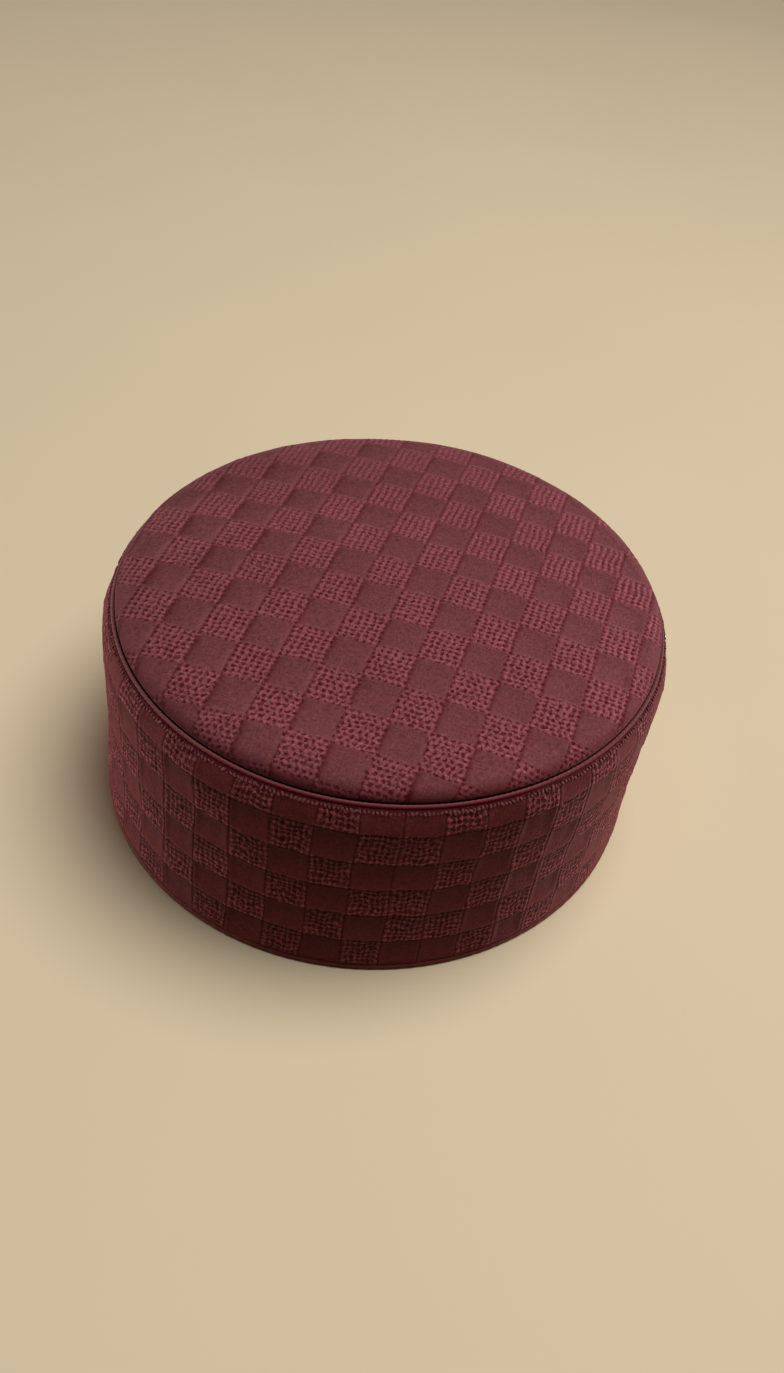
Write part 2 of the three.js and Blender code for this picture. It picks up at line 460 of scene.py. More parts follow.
def rolled_cloth(name, colours):
    """The hem's plain weave, with fine ribs across the roll and painted shade in its folds and along its
    top.
    """
    finish = Finish(name, CLOTH)
    across, along, _ = finish.parts_of(finish.attribute("weave", "Vector"))
    painted_shade = finish.attribute("painted_shade")
    ribs_round, ribs_over = 1400.0, 2.0
    ribs = (across * ribs_round + along * ribs_over).wave()
    fuzz = finish.noise(finish.place(), FUZZ, 3.0)
    cloth = finish.toned(opaque(colours.hem), 0.6 + fuzz * 0.6 + ribs * 0.2)
    return finish.surface({
        "Base Color": finish.mix(cloth, opaque(colours.hollow_shade), painted_shade),
        "Roughness": 0.95 - fuzz * 0.1,
        "Normal": finish.bump(ribs * 0.5 + fuzz, 0.15 * MM, 0.6),
    })


def plain_floor(name, colours):
    """A pale, even floor."""
    finish = Finish(name, {"Specular IOR Level": 0.2})
    grain = finish.noise(finish.place(), FLOOR_GRAIN, 4.0)
    colour = finish.toned(opaque(colours.floor), 0.97 + grain * 0.06)
    return finish.surface({"Base Color": colour, "Roughness": 0.7 + grain * 0.1})


def finish_named(name, maker, *details):
    """A material made once and shared by the pieces that wear it."""
    return bpy.data.materials.get(name) or maker(name, *details)


def soft_step(low, high, value):
    share = np.clip((value - low) / (high - low), 0, 1)
    return share * share * (3 - 2 * share)


def near(full, none, distance):
    """1 up to one distance, and from there falling softly to 0 at another."""
    return 1 - soft_step(full, none, distance)


def hump(value, width):
    return np.exp(-((value / width) ** 2))


def soft_waves(points, length, seed):
    """A soft unevenness, mostly between -1 and 1, of waves that cross each other in all ways."""
    count = 7
    random = np.random.default_rng(seed)
    ways = random.normal(size=(count, 3))
    ways /= np.linalg.norm(ways, axis=1)[:, None] * length * random.uniform(0.7, 1.4, (count, 1))
    return np.mean(np.sin(TURN * (points @ ways.T + random.uniform(size=count))), axis=-1) * 2


def oval(angle, sizes):
    return 1 + sizes.oval * np.cos(2 * angle)


def on_plan(radius, angle, height, sizes):
    """Points of the oval plan, from mean radii, angles and heights."""
    reach = radius * oval(angle, sizes)
    return np.stack(np.broadcast_arrays(reach * np.cos(angle), reach * np.sin(angle), height), axis=-1)


def near_join(angle, checks):
    """1 at the band's join and 0 from the sides round the back."""
    return soft_step(0.3, 1.0, np.cos(angle - checks.join_angle))


LEFT, RIGHT = 1, -1


class Line:
    """A profile of (mean radius, height) points, followed by the distance run along it."""

    def __init__(self, points, outside):
        self.points = np.array(points, float)
        self.outside = outside
        steps = np.linalg.norm(np.diff(self.points, axis=0), axis=1)
        self.runs = np.concatenate([[0.0], np.cumsum(steps)])
        self.length = self.runs[-1]
        self.slopes = np.gradient(self.points, self.runs, axis=0)

    def at(self, run):
        return [np.interp(run, self.runs, self.points[:, axis]) for axis in (0, 1)]

    def outward(self, run):
        """The way straight out of the cloth, as (radius, height)."""
        along = [np.interp(run, self.runs, self.slopes[:, axis]) for axis in (0, 1)]
        size = np.hypot(*along) * self.outside
        return -along[1] / size, along[0] / size

    def raised(self, run, height):
        """Mean radii and heights of places that stand out of the line by a height."""
        radius, level = self.at(run)
        out, up = self.outward(run)
        return radius + out * height, level + up * height


def ellipse(centre, radii, start, end, steps):
    turns = np.linspace(start, end, steps)
    return np.stack([centre[0] + radii[0] * np.cos(turns), centre[1] + radii[1] * np.sin(turns)], axis=-1)


def crown_height(radius, sizes):
    dome = sizes.crown_dome * (1 - (radius / sizes.seam_radius) ** 2)
    return sizes.seam_height + sizes.crown_edge_rise + dome


def crown_line(sizes):
    """From the crown's middle over its rounded edge and back under to its foot."""
    edge_start = sizes.crown_radius - sizes.crown_edge_width
    radii = np.linspace(0, edge_start, 120)
    dome = np.stack([radii, crown_height(radii, sizes)], axis=-1)
    drop = crown_height(edge_start, sizes) - sizes.crown_widest
    edge = ellipse((edge_start, sizes.crown_widest), (sizes.crown_edge_width, drop), math.pi / 2, 0, 40)
    roll = (sizes.crown_roll, sizes.crown_widest - sizes.crown_foot)
    under = ellipse((sizes.crown_radius - roll[0], sizes.crown_widest), roll, 0, -math.pi / 2, 16)
    return Line(np.concatenate([dome, edge[1:], under[1:]]), LEFT)


def wall_line(sizes):
    """From the top of the hem up over the shoulder to the edge beside the piping."""
    share = np.linspace(0, 1, 120)[:, None]
    foot = np.array([sizes.rim_radius, sizes.wall_foot])
    top = np.array([sizes.wall_top_radius, sizes.wall_top])
    pull = np.array([2 * sizes.waist_radius - (foot[0] + top[0]) / 2, (foot[1] + top[1]) / 2])
    wall = (1 - share) ** 2 * foot + 2 * share * (1 - share) * pull + share ** 2 * top
    radii = (sizes.wall_top_radius - sizes.seam_radius, sizes.seam_height - sizes.wall_top)
    turn = math.asin((sizes.lip_height - sizes.wall_top) / radii[1])
    shoulder = ellipse((sizes.seam_radius, sizes.wall_top), radii, 0, turn, 80)
    return Line(np.concatenate([wall, shoulder[1:]]), RIGHT)


class Check:
    """The cloth's squares: where smooth ones lie, the knit's loops, and the relief of both."""

    ragged = 0.05
    border = 0.12
    corner_power = 7
    first_column = 0.02
    column_stray = 0.12
    course_stray = 0.25
    least_open = 0.65
    loops_told_apart = (89, 97)

    def __init__(self, points, across, along, is_smooth, loops, stagger, ribs, wobble, seed):
        self.x = across - np.floor(across)
        self.y = along - np.floor(along)
        chosen = is_smooth(np.floor(across).astype(int), np.floor(along).astype(int))
        ragged = self.ragged * soft_waves(points, 3 * MM, seed)
        self.smooth = soft_step(-self.border, self.border, self.inset(chosen) + ragged)
        column_stray = self.column_stray * wobble * soft_waves(points, 6 * MM, seed + 1)
        course_stray = self.course_stray * wobble * soft_waves(points, 7 * MM, seed + 2)
        self.column = (across - self.first_column) * loops[0] + column_stray
        self.course = along * loops[1] + course_stray
        self.stagger = stagger
        self.ribs = ribs
        chances = np.random.default_rng(seed).uniform(self.least_open, 1.0, self.loops_told_apart)
        nearest = [np.rint(value).astype(int) for value in (2 * self.column, self.course)]
        self.open = chances[nearest[0] % len(chances), nearest[1] % chances.shape[1]]
        self.weave = np.stack([across, along, self.stagger], axis=-1)

    def inset(self, smooth):
        """How far inside a smooth square with round corners a place lies, and below 0 in a knit one."""
        x, y = np.abs(2 * self.x - 1), np.abs(2 * self.y - 1)
        power = self.corner_power
        return np.where(smooth, 1 - (x ** power + y ** power) ** (1 / power), np.maximum(x, y) - 1)

    def dip(self, left, right, front, back):
        """How far a smooth square has sunk, given how wide its slopes are at its four sides."""
        places = ((self.x, left), (1 - self.x, right), (self.y, front), (1 - self.y, back))
        return np.prod([soft_step(0, width, place) for place, width in places], axis=0)

    def holes(self):
        """How deep the holes between loops are, and the grooves between ribs."""
        column = self.column + STAGGER * self.stagger * np.cos(math.pi * self.course)
        rows = np.cos(math.pi * self.course) ** 2
        shape = np.cos(math.pi * column) ** 2 * (rows + (1 - rows) * self.ribs * RIB_GROOVE)
        return shape * self.open * (1 - self.smooth)

    def loops(self, kept=1.0):
        """The loops' columns and courses, and how much of their holes is kept open."""
        return np.stack([self.column, self.course, self.open * kept], axis=-1)


def make_piece(name, points, faces, bake, values, material):
    """A smooth-shaded mesh object with values on its points or corners and a map for baking its finish."""
    mesh = bpy.data.meshes.new(name)
    mesh.from_pydata(points.tolist(), [], [corners for group in faces for corners in group.tolist()])
    for key, value in values.items():
        domain = "POINT" if len(value) == len(points) else "CORNER"
        kind, field = ("FLOAT_VECTOR", "vector") if value.ndim == 2 else ("FLOAT", "value")
        mesh.attributes.new(key, kind, domain).data.foreach_set(field, value.astype(np.float32).ravel())
    corners = np.concatenate([group.reshape(-1, 2) for group in bake])
    mesh.uv_layers.new(name=BAKE_MAP).uv.foreach_set("vector", corners.astype(np.float32).ravel())
    mesh.shade_smooth()
    mesh.materials.append(material)
    piece = bpy.data.objects.new(name, mesh)
    bpy.context.collection.objects.link(piece)
    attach(piece, "root")
    return piece


def inside_values(weave):
    """Values of the smooth cloth inside the cap, at places of its weave."""
    flat = np.zeros(weave.shape[:-1])
    return {
        "weave": weave,
        "loops": np.zeros(weave.shape),
        "ribs": flat,
        "smooth": flat + 1,
        "painted_shade": flat + INSIDE_SHADE,
        "painted_lighting": flat,
    }


def round_grid(around, sides):
    """Angles round the cap, and round the section of what runs along its edges."""
    return np.meshgrid(np.arange(around) * TURN / around, np.arange(sides) * TURN / sides)


class Ring:
    """Quads between rows of vertices round a ring, whose rows may close on themselves too."""

    def __init__(self, around, rows, closed=False):
        last = rows if closed else rows - 1
        i, j = (grid[..., None] for grid in np.meshgrid(np.arange(around), np.arange(last), indexing="ij"))
        self.column = (i + np.array([0, 1, 1, 0])).reshape(-1, 4)
        row = (j + np.array([0, 0, 1, 1])).reshape(-1, 4)
        self.row = row % rows
        self.faces = self.row * around + self.column % around
        self.bake = np.stack([self.column / around, row / last], axis=-1)

    def corners(self, grid):
        """Values of the quads' corners from rows of values that run once round and end where they began."""
        return grid[self.row, self.column].reshape(-1, *grid.shape[2:])


class CapOperator:
    """What the operators have in common."""

    bl_options = {"REGISTER", "UNDO"}


class PRAYERCAP_OT_crown(CapOperator, bpy.types.Operator):
    """Make the padded crown: a check of smooth and knit squares over a gentle dome with a rounded edge"""

    bl_idname = "prayer_cap.crown"
    bl_label = "Crown"

    steps = (24, 24)
    under_shares = (0.6, 0.3, 0.05)
    under_spot = 0.07
    under_reach = 0.063

    # Ways over the plan: to where loops lie in turns, to where they line up in ribs, to where holes close
    stagger_way = (-0.3, -1.0)
    rib_way = (0.6, 1.0)
    closing_way = (0.4, 1.0)

    # Widths of the slopes at a smooth square's sides
    slopes = {"left": 0.16, "right": 0.2, "front": 0.16, "back": 0.4}

    # Distances from the rim: fully so up to the first, and no more from the second on
    bare_rim = (1.5 * MM, 5 * MM)
    flat_edge = (7 * MM, 14 * MM)
    # Painted shade along the rim
    painted_rim_shade = (2.5 * MM, 9 * MM)
    # Painted shade at the rim's left and right sides
    shaded_edge = (6 * MM, 18 * MM)

    def execute(self, context):
        sizes, checks, colours = settings()
        cloth = (colours.crown_smooth, colours.crown_knit, colours.crown_pit, colours.hollow_shade)
        line = crown_line(sizes)
        flat, rim, faces = self.cloth_grid(line, sizes, checks)
        points, values = self.dressed(flat, line, sizes, checks)
        bake = 0.5 + flat / (2 * line.length * (1 + sizes.oval))
        under = self.underside(points, rim, sizes)
        crown = make_piece(
            "padded_crown",
            np.concatenate([points, under["points"]]),
            [faces, *under["faces"]],
            [bake[faces], *under["bake"]],
            {key: np.concatenate([value, under[key]]) for key, value in values.items()},
            finish_named("checked_crown", checked_cloth, cloth, CROWN_KNIT),
        )
        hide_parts("crown")
        return {"FINISHED"}

    def cloth_grid(self, line, sizes, checks):
        """Flat places of the cloth's vertices on a grid along the check, trimmed to the crown's edge."""
        squares = math.ceil(line.length * (1 + sizes.oval) / checks.crown_width) + 1
        ticks = [np.arange(-squares * steps, squares * steps + 1) / steps for steps in self.steps]
        across, along = np.meshgrid(*ticks, indexing="ij")
        x = (across - 0.5) * checks.crown_width
        y = (along - 0.5) * checks.crown_depth + checks.crown_skew * x
        flat = np.stack([x + checks.crown_along, y + checks.crown_over], axis=-1)
        reach = np.linalg.norm(flat, axis=-1)
        angle = np.arctan2(flat[..., 1], flat[..., 0])
        limit = line.length * oval(angle + checks.crown_turn, sizes)
        inside = reach < limit
        number = np.arange(inside.size).reshape(inside.shape)
        quads = np.stack([number[:-1, :-1], number[1:, :-1], number[1:, 1:], number[:-1, 1:]], axis=-1)
        faces = quads[inside.ravel()[quads].any(axis=-1)]
        used, faces = np.unique(faces, return_inverse=True)
        trimmed = flat * np.where(inside, 1, limit / np.maximum(reach, MM))[..., None]
        rim = np.flatnonzero(~inside.ravel()[used])
        rim = rim[np.argsort((angle + checks.crown_turn).ravel()[used][rim] % TURN)]
        return trimmed.reshape(-1, 2)[used], rim, faces.reshape(-1, 4)

    def dressed(self, flat, line, sizes, checks):
        """The vertices in place with the cloth's relief, and the values that its finish reads."""
        angle = np.arctan2(flat[:, 1], flat[:, 0]) + checks.crown_turn
        run = np.linalg.norm(flat, axis=1) / oval(angle, sizes)
        to_rim = line.length - run
        plain = on_plan(*np.broadcast_arrays(line.at(run)[0], angle), line.at(run)[1], sizes)
        check = self.cloth_check(flat, plain, checks)
        radius, level = line.raised(run, self.relief(check, plain, to_rim, checks))
        return on_plan(radius, angle, level, sizes), self.finish_values(check, plain, to_rim, sizes)

    def cloth_check(self, flat, plain, checks):
        """The crown's squares and loops, for flat places of the cloth and their places on the cap."""
        x = flat[:, 0] - checks.crown_along
        y = flat[:, 1] - checks.crown_over - checks.crown_skew * x
        across = x / checks.crown_width + 0.5
        along = y / checks.crown_depth + 0.5
        plan = plain[:, :2]
        to_front = 15 * MM * soft_waves(plain, 40 * MM, 14) + plan @ self.stagger_way
        stagger = 0.1 + 0.8 * soft_step(22 * MM, 66 * MM, to_front)
        ribs = soft_step(-10 * MM, 60 * MM, plan @ self.rib_way)
        check = Check(
            plain, across, along, lambda i, j: (i + j) % 2 == 1, (checks.loops, checks.crown_courses),
            stagger, ribs, wobble=1.0, seed=11,
        )
        check.open = check.open * (1 - 0.6 * soft_step(-40 * MM, 70 * MM, plan @ self.closing_way))
        return check

    def relief(self, check, plain, to_rim, checks):
        """How far the cloth stands out of the crown's line, with its smooth squares sunk in."""
        dip = check.smooth * check.dip(**self.slopes)
        puff = checks.puff * (1 - dip) * (1 - 0.8 * near(*self.flat_edge, to_rim))
        unevenness = checks.unevenness * (soft_waves(plain, 45 * MM, 5) - 1)
        return (puff - checks.hole * check.holes() + unevenness) * soft_step(*self.bare_rim, to_rim)

    def finish_values(self, check, plain, to_rim, sizes):
        """What the finish reads: painted shade at the left and back of smooth squares, along the rim and at
        the rim's sides, and painted light across the crown.
        """
        x, y = plain[:, 0], plain[:, 1]
        # Painted shade at the left and back edges of smooth squares
        painted_shade = check.smooth * (0.75 * hump(check.x, 0.1) + 0.12 * hump(1 - check.y, 0.1))
        # Painted shade at the left and right sides near the rim
        side_shade = 0.2 * soft_step(0, 60 * MM, -x) + 0.1 * soft_step(0, 60 * MM, x)
        edge = near(*self.shaded_edge, to_rim)
        return {
            "weave": check.weave,
            "loops": check.loops(),
            "ribs": check.ribs,
            "smooth": np.maximum(check.smooth, 0.46 * soft_step(0, 70 * MM, y)),
            "painted_shade": np.clip(painted_shade + 0.7 * near(*self.painted_rim_shade, to_rim), 0, 1),
            # Painted light: lighter towards the right and the front, less the painted shade at the rim's
            # sides
            "painted_lighting": (0.07 * x - 0.16 * y) / sizes.seam_radius - edge * side_shade,
        }

    def underside(self, points, rim, sizes):
        """Rings from the crown's rim in under its padding, and the point in its middle."""
        around = len(rim)
        angle = np.arctan2(points[rim, 1], points[rim, 0])
        inner = sizes.ledge_inner_radius - GAP
        radii = [inner, inner - sizes.crown_padding, *(share * inner for share in self.under_shares)]
        heights = [sizes.crown_foot] + [crown_height(r, sizes) - sizes.crown_padding for r in radii[1:]]
        rings = np.concatenate([on_plan(r, angle, z, sizes) for r, z in zip(radii, heights)])
        middle = np.array([[0, 0, crown_height(0, sizes) - sizes.crown_padding]])
        numbers = np.concatenate([rim, len(points) + np.arange(len(rings) + 1)])
        ring = Ring(around, len(radii) + 1)
        last = len(radii) * around + np.arange(around)
        fan = np.stack([np.roll(last, -1), last, np.full(around, len(numbers) - 1)], axis=-1)
        turns = np.arange(around)[:, None] / around
        fan_turns = np.concatenate([turns + 1 / around, turns, turns], axis=1)
        fan_edge = 0.1
        fan_bake = self.under_bake(fan_turns, np.broadcast_to([fan_edge, fan_edge, 0], fan_turns.shape))
        ring_bake = self.under_bake(ring.bake[..., 0], 1 - (1 - fan_edge) * ring.bake[..., 1])
        under = np.concatenate([rings, middle])
        return {
            "points": under,
            "faces": [numbers[ring.faces[:, ::-1]], numbers[fan]],
            "bake": [ring_bake[:, ::-1], fan_bake],
            **inside_values(under / (10 * MM)),
        }

    def under_bake(self, turns, shares):
        """Bake places of the underside: a small disc in a corner that the round crown leaves free."""
        ways = np.stack([np.cos(TURN * turns), np.sin(TURN * turns)], axis=-1)
        return self.under_spot + self.under_reach * shares[..., None] * ways


class PRAYERCAP_OT_side_band(CapOperator, bpy.types.Operator):
    """Make the upright side band: rows and columns of the check, with its ribs and its join"""

    bl_idname = "prayer_cap.side_band"
    bl_label = "Side band"

    steps = 18
    inner_shares = (0.85, 0.7, 0.5, 0.25, 0)
    ledge_step = 1.0 * MM
    lip_width = 0.06

    # Widths of the slopes at a smooth square's sides
    slopes = {"left": 0.2, "right": 0.35, "front": 0.5, "back": 0.12}

    # Distances over which the relief grows, from the hem and from the seam
    foot_fade = 2.5 * MM
    seam_fade = 5 * MM

    def execute(self, context):
        sizes, checks, colours = settings()
        cloth = (colours.band_smooth, colours.band_knit, colours.band_pit, colours.hollow_shade)
        line = wall_line(sizes)
        around = checks.band_columns * self.steps
        across = np.arange(around + 1) / self.steps
        angle = checks.join_angle + TURN * across / checks.band_columns
        run = np.linspace(0, line.length, round(line.length / checks.band_row * self.steps) + 1)
        points, values = self.dressed(across, angle, run, line, sizes, checks)
        inner = self.inside(line, sizes)
        inner_across, inner_row = np.meshgrid(across, np.arange(len(inner)))
        plain = inside_values(np.stack([inner_across, inner_row, 0 * inner_row], axis=-1))
        rings = np.stack([on_plan(radius, angle, height, sizes) for radius, height in inner])
        points = np.concatenate([points, rings])
        ring = Ring(around, len(points), closed=True)
        band = make_piece(
            "checked_side_band",
            points[:, :-1].reshape(-1, 3),
            [ring.faces],
            [ring.bake],
            {key: ring.corners(np.concatenate([value, plain[key]])) for key, value in values.items()},
            finish_named("checked_band", checked_cloth, cloth, BAND_KNIT),
        )
        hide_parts("side_band")
        return {"FINISHED"}

    def inside(self, line, sizes):
        """The ledge's and the inner face's rings, from the seam down to the hem, as (radius, height)."""
        top = line.points[-1]
        under = sizes.ledge_height - sizes.ledge_cloth
        inner = [line.at(line.length * share) for share in self.inner_shares]
        return [
            (top[0] - self.ledge_step, sizes.ledge_height),
            (sizes.ledge_inner_radius, sizes.ledge_height),
            (sizes.ledge_inner_radius, under),
            (top[0] - sizes.cloth, under),
            *[(radius - sizes.cloth, height) for radius, height in inner],
        ]

    def dressed(self, across, angle, run, line, sizes, checks):
        """The outer face with the cloth's relief, row by row, and the values that its finish reads."""
        across, along = np.meshgrid(across, run / checks.band_row)
        angle, run = np.meshgrid(angle, run)
        radius, level = line.at(run)
        plain = on_plan(radius, angle, level, sizes)
        check = self.cloth_check(across, along, plain, checks)
        lips = hump(0.5 - np.abs(check.x - 0.5) - 1 / self.steps, self.lip_width)
        to_seam = line.length - run
        height = self.relief(check, lips, plain, checks)
        height = height * soft_step(0, self.foot_fade, run) * soft_step(0, self.seam_fade, to_seam)
        radius, level = line.raised(run, height)
        # Painted shade along the seam and along the hem
        edges = hump(to_seam, 0.6 * MM) + hump(run, 1.2 * MM)
        values = {
            "weave": check.weave,
            "loops": check.loops(kept=1 - 0.4 * lips),
            "ribs": check.ribs,
            "smooth": check.smooth,
            "painted_shade": np.clip(0.8 * edges, 0, 1),
            "painted_lighting": self.painted_lighting(angle, to_seam, checks),
        }
        return on_plan(radius, angle, level, sizes), values

    def cloth_check(self, across, along, plain, checks):
        """The band's squares and loops, in columns and rows that sway a little."""
        across = across + 0.025 * soft_waves(plain, 20 * MM, 21)
        along = along + 0.02 * soft_waves(plain, 12 * MM, 22)
        none = np.zeros_like(across)
        return Check(
            plain, across, along, lambda i, j: self.is_smooth(i, j, checks),
            (checks.band_loops, checks.loops), stagger=none, ribs=none, wobble=1.8, seed=23,
        )

    def relief(self, check, lips, plain, checks):
        """How far the cloth stands out of the wall's line, with knit that flares at its foot and lips."""
        dip = 0.6 * check.smooth * check.dip(**self.slopes)
        flare = (1 - check.smooth) * near(0, 0.5, check.y) * soft_step(0, 0.1, check.y)
        height = checks.puff * (1 - dip + 0.5 * flare) - checks.hole * check.holes() * (1 - lips)
        return height + checks.rib * lips + checks.unevenness * (soft_waves(plain, 30 * MM, 6) - 1)

    def painted_lighting(self, angle, to_seam, checks):
        """Painted light on the cloth under the seam by the join, and painted shade at the front and along
        the top elsewhere.
        """
        front = near_join(angle, checks)
        from_join = np.sin((angle - checks.join_angle) / 2 + 0.1)
        # Painted light on the top of the band by the join
        painted_top_light = 0.27 * hump(from_join, 0.25) * hump(to_seam, 5 * MM)
        return painted_top_light - 0.08 * front - 0.13 * (1 - front) * hump(to_seam, 13 * MM)

    def is_smooth(self, column, row, checks):
        """Squares take turns round and up the band; like ones meet at the join, which steps over once."""
        column = column % checks.band_columns
        before_join = (row < checks.join_step_rows) & (column == 0)
        return (column + np.where(before_join, checks.band_columns, 0) + row) % 2 == 1


class PRAYERCAP_OT_piping(CapOperator, bpy.types.Operator):
    """Make the twisted cord that lies in the seam between the crown and the side band"""

    bl_idname = "prayer_cap.piping"
    bl_label = "Piping"

    around = 1800
    sides = 12
    strands = 2
    twists = 300
    strand_depth = 0.05
    strand_shade = 0.35
    shade_turn = math.radians(30)
    painted_side_shade = 0.3

    def execute(self, context):
        sizes, checks, colours = settings()
        angle, side = round_grid(self.around, self.sides)
        lobe = np.cos(self.strands * side - self.twists * angle)
        # Painted shade: the cord's lower outer side by the join, and between its strands
        low = soft_step(-0.25, 0.25, np.cos(side + self.shade_turn))
        front = near_join(angle, checks)
        painted_shade = np.maximum(low * front, self.strand_shade * soft_step(0.2, 1.0, -lobe))
        # Painted shade dims the cord away from the join
        painted_lighting = -self.painted_side_shade * (1 - front)
        thick = sizes.piping_radius * (1 - self.strand_depth * (1 - lobe))
        radius = sizes.piping_ring_radius + thick * np.cos(side)
        points = on_plan(radius, angle, sizes.piping_height + thick * np.sin(side), sizes)
        ring = Ring(self.around, self.sides, closed=True)
        cord = make_piece(
            "piping_cord", points.reshape(-1, 3), [ring.faces], [ring.bake],
            {"painted_shade": painted_shade.ravel(), "painted_lighting": painted_lighting.ravel()},
            finish_named("twisted_cord", twisted_yarn, colours.cord, colours.cord_shade),
        )
        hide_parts("piping")
        return {"FINISHED"}


class PRAYERCAP_OT_stitches(CapOperator, bpy.types.Operator):
    """Make the row of small stitches along the band's upper edge, under the piping"""

    bl_idname = "prayer_cap.stitches"
    bl_label = "Stitches"

    count = 450
    half_length = 0.66 * MM
    half_width = 0.38 * MM
    half_height = 0.2 * MM
    below_edge = 1.1 * MM
    proud = 0.25 * MM
    slant = math.radians(80)
    stray = 0.14 * MM
    slant_stray = 0.5
    size_stray = 0.2

    def execute(self, context):
        sizes, checks, colours = settings()
        line = wall_line(sizes)
        random = np.random.default_rng(7)
        angle = np.arange(self.count) * TURN / self.count
        run = line.length - self.below_edge + random.normal(0, self.stray, self.count)
        out, over = line.outward(run)
        radius, level = line.raised(run, self.proud)
        middle = on_plan(radius, angle, level, sizes)
        round_way = np.stack([-np.sin(angle), np.cos(angle), np.zeros(self.count)], axis=-1)
        normal = np.stack([out * np.cos(angle), out * np.sin(angle), over], axis=-1)
        slant = (self.slant + random.normal(0, self.slant_stray, self.count))[:, None]
        lengthwise = round_way * np.cos(slant) + np.cross(round_way, normal) * np.sin(slant)
        sideways = np.cross(normal, lengthwise)
        grain, groups = self.grain()
        size = (1 + random.normal(0, self.size_stray, self.count))[:, None, None]
        halves = ((lengthwise, self.half_length), (sideways, self.half_width), (normal, self.half_height))
        points = middle[:, None] + size * sum(
            grain[None, :, axis, None] * way[:, None] * half for axis, (way, half) in enumerate(halves)
        )
        first = np.arange(self.count)[:, None, None] * len(grain)
        cells = math.ceil(math.sqrt(self.count))
        cell = np.stack(np.divmod(np.arange(self.count), cells), axis=-1)[:, None, None]
        faces = [(first + corners).reshape(-1, corners.shape[1]) for corners, _ in groups]
        bake = [(cell + spots) / cells for _, spots in groups]
        # Painted shade at the stitches' ends, and over whole stitches away from the join
        ends = 0.6 * np.abs(grain[:, 0]) ** 4
        painted_shade = ends + 0.7 * (1 - near_join(angle, checks)[:, None]) * (1 - ends)
        stitches = make_piece(
            "edge_stitches", points.reshape(-1, 3), faces, bake,
            {"painted_shade": painted_shade.ravel(), "painted_lighting": np.zeros(painted_shade.size)},
            finish_named("stitch_yarn", twisted_yarn, colours.stitch, colours.band_smooth),
        )
        return {"FINISHED"}

    def grain(self):
        """One closed grain along X: its points, and its sides and end caps with their bake places."""
        around, rows = 8, 6
        blunt_end = 0.08
        number = np.arange(around)
        turn = number * TURN / around
        along = np.cos(np.linspace(blunt_end, math.pi - blunt_end, rows))[:, None]
        width = np.sqrt(1 - along ** 2)
        parts = np.broadcast_arrays(along, width * np.cos(turn), width * np.sin(turn))
        ring = Ring(around, rows)
        sides = (ring.faces[:, ::-1], 0.05 + ring.bake[:, ::-1] * np.array([0.9, 0.7]))
        cap_radius, cap_height = 0.06, 0.88
        spot = cap_radius * np.stack([np.cos(turn), np.sin(turn)], axis=-1)
        ends = np.stack([number, around * (rows - 1) + number[::-1]])
        caps = (ends, np.stack([spot + (0.3, cap_height), spot[::-1] + (0.7, cap_height)]))
        return np.stack(parts, axis=-1).reshape(-1, 3), (sides, caps)


class PRAYERCAP_OT_hem(CapOperator, bpy.types.Operator):
    """Make the narrow rolled hem that the cap stands on"""

    bl_idname = "prayer_cap.hem"
    bl_label = "Hem"

    around = 900
    sides = 20
    squareness = 0.55
    puckers = 141
    pucker_depth = 0.05
    sways = 9
    sway = 2.0

    def execute(self, context):
        sizes, _, colours = settings()
        angle, side = round_grid(self.around, self.sides)
        out, over = (np.sign(way) * np.abs(way) ** self.squareness for way in (np.cos(side), np.sin(side)))
        pucker = 0.5 + 0.5 * np.sin(self.puckers * angle + self.sway * np.sin(self.sways * angle))
        outer = (HEM_TOP.x + HEM_TOP.y) / 2
        half = sizes.hem_cloth / 2
        radius = outer - half + half * out * (1 - self.pucker_depth * pucker)
        points = on_plan(radius, angle, HEM_TOP.z / 2 * (1 + over), sizes)
        ring = Ring(self.around, self.sides, closed=True)
        weave = np.stack([angle / TURN, side, np.zeros_like(side)], axis=-1)
        # Painted shade in the puckers' folds and along the hem's top, under the band
        painted_shade = np.clip(0.15 * (1 - pucker) + 0.5 * soft_step(0.8, 1.0, over), 0, 1)
        hem = make_piece(
            "rolled_hem", points.reshape(-1, 3), [ring.faces], [ring.bake],
            {"weave": weave.reshape(-1, 3), "painted_shade": painted_shade.ravel()},
            finish_named("rolled_cloth", rolled_cloth, colours),
        )
        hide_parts("hem")
        return {"FINISHED"}


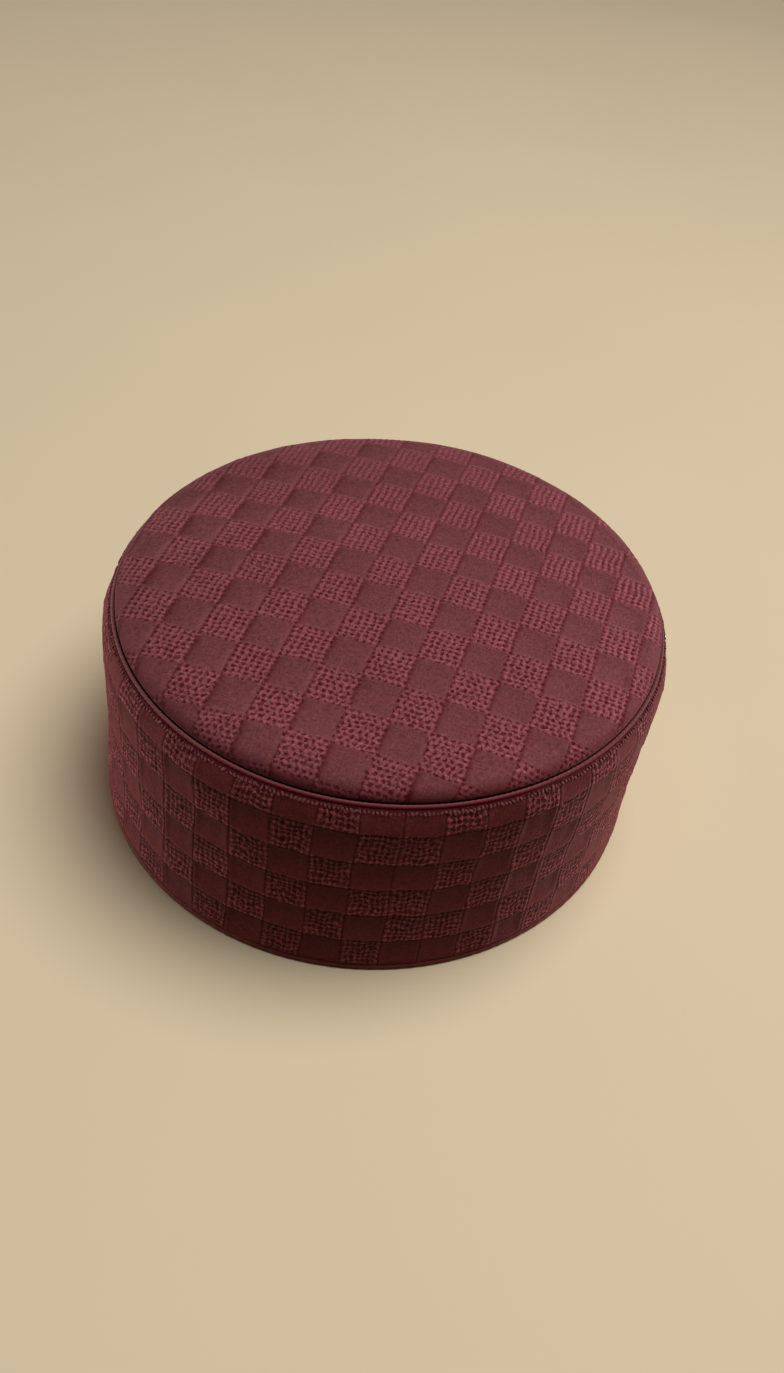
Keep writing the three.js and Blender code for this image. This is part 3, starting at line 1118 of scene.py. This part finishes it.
class PRAYERCAP_OT_stage(CapOperator, bpy.types.Operator):
    """Make the plain floor, the soft lights and the camera"""

    bl_idname = "prayer_cap.stage"
    bl_label = "Stage"

    floor_half = 3.0
    target = Vector((0, 0, 0.05))
    sky_colour = (1.0, 0.98, 0.96, 1.0)

    def execute(self, context):
        stage = context.scene.cap_stage
        floor = self.floor(context.scene.cap_colours)
        self.camera(stage)
        self.light("key_light", place=(0.4, -0.05, 1.6), size=(1.1, 1.1), power=stage.key_power)
        side_lights = [
            self.light("left_light", (-0.76, 0.63, 0.13), (1.0, 0.24), 1.4 * stage.side_power),
            self.light("right_light", (0.98, 0.05, 0.13), (0.24, 0.24), 1.18 * stage.side_power),
        ]
        self.keep_off(side_lights, floor)
        self.sky(stage)
        context.scene.view_settings.view_transform = "Standard"
        return {"FINISHED"}

    def floor(self, colours):
        mesh = bpy.data.meshes.new("floor")
        signs = ((-1, -1), (1, -1), (1, 1), (-1, 1))
        corners = [(x * self.floor_half, y * self.floor_half, 0) for x, y in signs]
        mesh.from_pydata(corners, [], [(0, 1, 2, 3)])
        mesh.materials.append(finish_named("plain_floor", plain_floor, colours))
        floor = bpy.data.objects.new("floor", mesh)
        bpy.context.collection.objects.link(floor)
        return floor

    def camera(self, stage):
        data = bpy.data.cameras.new("camera")
        data.lens = stage.lens
        camera = bpy.data.objects.new("camera", data)
        flat = math.cos(stage.tilt)
        ahead = Vector((math.sin(stage.heading) * flat, math.cos(stage.heading) * flat, 0))
        ahead.z = -math.sin(stage.tilt)
        right = ahead.cross(Vector((0, 0, 1))).normalized()
        up = right.cross(ahead)
        rolled_right = math.cos(stage.roll) * right + math.sin(stage.roll) * up
        rolled_up = math.cos(stage.roll) * up - math.sin(stage.roll) * right
        turn = Matrix((rolled_right, rolled_up, -ahead)).transposed().to_4x4()
        camera.matrix_world = Matrix.Translation(stage.camera) @ turn
        bpy.context.collection.objects.link(camera)
        bpy.context.scene.camera = camera

    def light(self, name, place, size, power):
        data = bpy.data.lights.new(name, "AREA")
        data.shape = "ELLIPSE"
        data.size, data.size_y = size
        data.energy = power
        light = bpy.data.objects.new(name, data)
        light.location = place
        light.rotation_euler = (self.target - light.location).to_track_quat("-Z", "Y").to_euler()
        bpy.context.collection.objects.link(light)
        return light

    def keep_off(self, lights, floor):
        """Flags the low lights off the floor, which they would flood at their feet."""
        flagged = bpy.data.collections.new("flagged")
        flagged.objects.link(floor)
        flagged.collection_objects[0].light_linking.link_state = "EXCLUDE"
        for light in lights:
            light.light_linking.receiver_collection = flagged

    def sky(self, stage):
        world = bpy.data.worlds.new("sky")
        world.use_nodes = True
        background = world.node_tree.nodes["Background"]
        background.inputs["Color"].default_value = self.sky_colour
        background.inputs["Strength"].default_value = stage.sky_strength
        bpy.context.scene.world = world


PIECES = (
    PRAYERCAP_OT_crown,
    PRAYERCAP_OT_side_band,
    PRAYERCAP_OT_piping,
    PRAYERCAP_OT_stitches,
    PRAYERCAP_OT_hem,
    PRAYERCAP_OT_stage,
)
GROUPS = {
    "cap_sizes": CapSizes,
    "cap_checks": CheckSizes,
    "cap_colours": ClothColours,
    "cap_stage": StageSettings,
}


class PRAYERCAP_PT_pieces(bpy.types.Panel):
    """The cap's pieces and their settings"""

    bl_label = "Prayer Cap"
    bl_idname = "PRAYERCAP_PT_pieces"
    bl_space_type = "VIEW_3D"
    bl_region_type = "UI"
    bl_category = "Prayer Cap"

    def draw(self, context):
        for operator in PIECES:
            self.layout.operator(operator.bl_idname)
        for name, group in GROUPS.items():
            box = self.layout.box()
            for setting in group.__annotations__:
                box.prop(getattr(context.scene, name), setting)


CLASSES = (*GROUPS.values(), *PIECES, PRAYERCAP_PT_pieces)


def register():
    for kind in CLASSES:
        bpy.utils.register_class(kind)
    for name, group in GROUPS.items():
        setattr(bpy.types.Scene, name, PointerProperty(type=group))


def unregister():
    for name in GROUPS:
        delattr(bpy.types.Scene, name)
    for kind in reversed(CLASSES):
        bpy.utils.unregister_class(kind)


def main():
    register()
    bpy.ops.prayer_cap.crown()
    bpy.ops.prayer_cap.side_band()
    bpy.ops.prayer_cap.piping()
    bpy.ops.prayer_cap.stitches()
    bpy.ops.prayer_cap.hem()
    bpy.ops.prayer_cap.stage()


if __name__ == "__main__":
    main()
